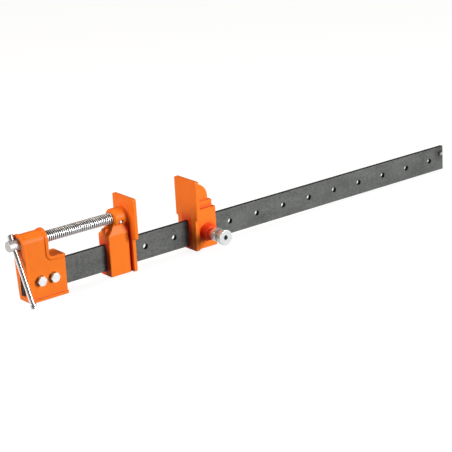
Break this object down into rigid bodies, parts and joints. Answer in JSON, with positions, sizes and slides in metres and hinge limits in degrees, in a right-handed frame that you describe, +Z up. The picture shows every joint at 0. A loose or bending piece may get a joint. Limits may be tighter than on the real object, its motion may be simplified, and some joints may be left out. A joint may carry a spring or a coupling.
{
  "type": "bar clamp",
  "caption": "Sash-type bar clamp: a screw-driven moving jaw on a drilled flat bar, and a sliding tail jaw that a spring plunger locks in the bar's holes.",
  "frame": {"origin": "centre of the head foot's flat face, on the middle plane of the bar", "axes": "+X along the bar from the head to the tail, +Z up from the foot to the screw, -Y on the side of the plunger knob and the bolt heads"},
  "size_m": [0.8086, 0.0824, 0.1095],
  "materials": {
    "orange_enamel": "semi-gloss enamel on cast iron",
    "bar_steel": "grey mill scale on hot-rolled flat bar",
    "zinc": "bright zinc plate",
    "screw_steel": "bright zinc plate on a rolled trapezoid thread",
    "bright_steel": "bright turned steel",
    "spring_steel": "oiled spring steel",
    "nickel_knob": "bright plated turned steel"
  },
  "bodies": {
    "frame": {"bar": "bar_steel", "bar_stop_pin": "bright_steel", "head_casting": "orange_enamel", "head_bolt_left": "zinc", "head_bolt_right": "zinc", "head_washer_left": "zinc", "head_washer_right": "zinc", "head_nut_left": "zinc", "head_nut_right": "zinc"},
    "moving_jaw_body": {"moving_jaw": "orange_enamel", "cross_pin": "bright_steel"},
    "screw": {"spindle": "screw_steel"},
    "tommy": {"tommy_bar": "bright_steel", "tommy_cap_upper": "bright_steel", "tommy_cap_lower": "bright_steel"},
    "tail_jaw_body": {"tail_jaw": "orange_enamel", "plunger_bush": "bright_steel", "plunger_spring": "spring_steel"},
    "plunger": {"index_pin": "bright_steel", "pin_clip": "spring_steel", "plunger_knob": "nickel_knob"}
  },
  "joints": [
    {"name": "jaw_slide", "type": "slide", "parent": "frame", "child": "moving_jaw_body", "axis": [1, 0, 0], "range_m": [-0.071, 0]},
    {"name": "spindle_turn", "type": "hinge", "parent": "moving_jaw_body", "child": "screw", "pos_m": [0.04, 0, 0.0829], "axis": [1, 0, 0], "range_deg": [-8055, 0]},
    {"name": "tommy_slide", "type": "slide", "parent": "screw", "child": "tommy", "axis": [0, 0.4493, 0.8934], "range_m": [0, 0.0743]},
    {"name": "tail_slide", "type": "slide", "parent": "frame", "child": "tail_jaw_body", "axis": [1, 0, 0], "range_m": [-0.1016, 0.4572]},
    {"name": "pin_engage", "type": "slide", "parent": "tail_jaw_body", "child": "plunger", "axis": [0, 1, 0], "range_m": [0, 0.0063], "stiffness_N_per_m": 1111, "springref_m": 0.018, "deforming": ["plunger_spring"]}
  ],
  "couplings": [
    {"joint": "spindle_turn", "follows": "jaw_slide", "rad_per_m": 1979}
  ]
}
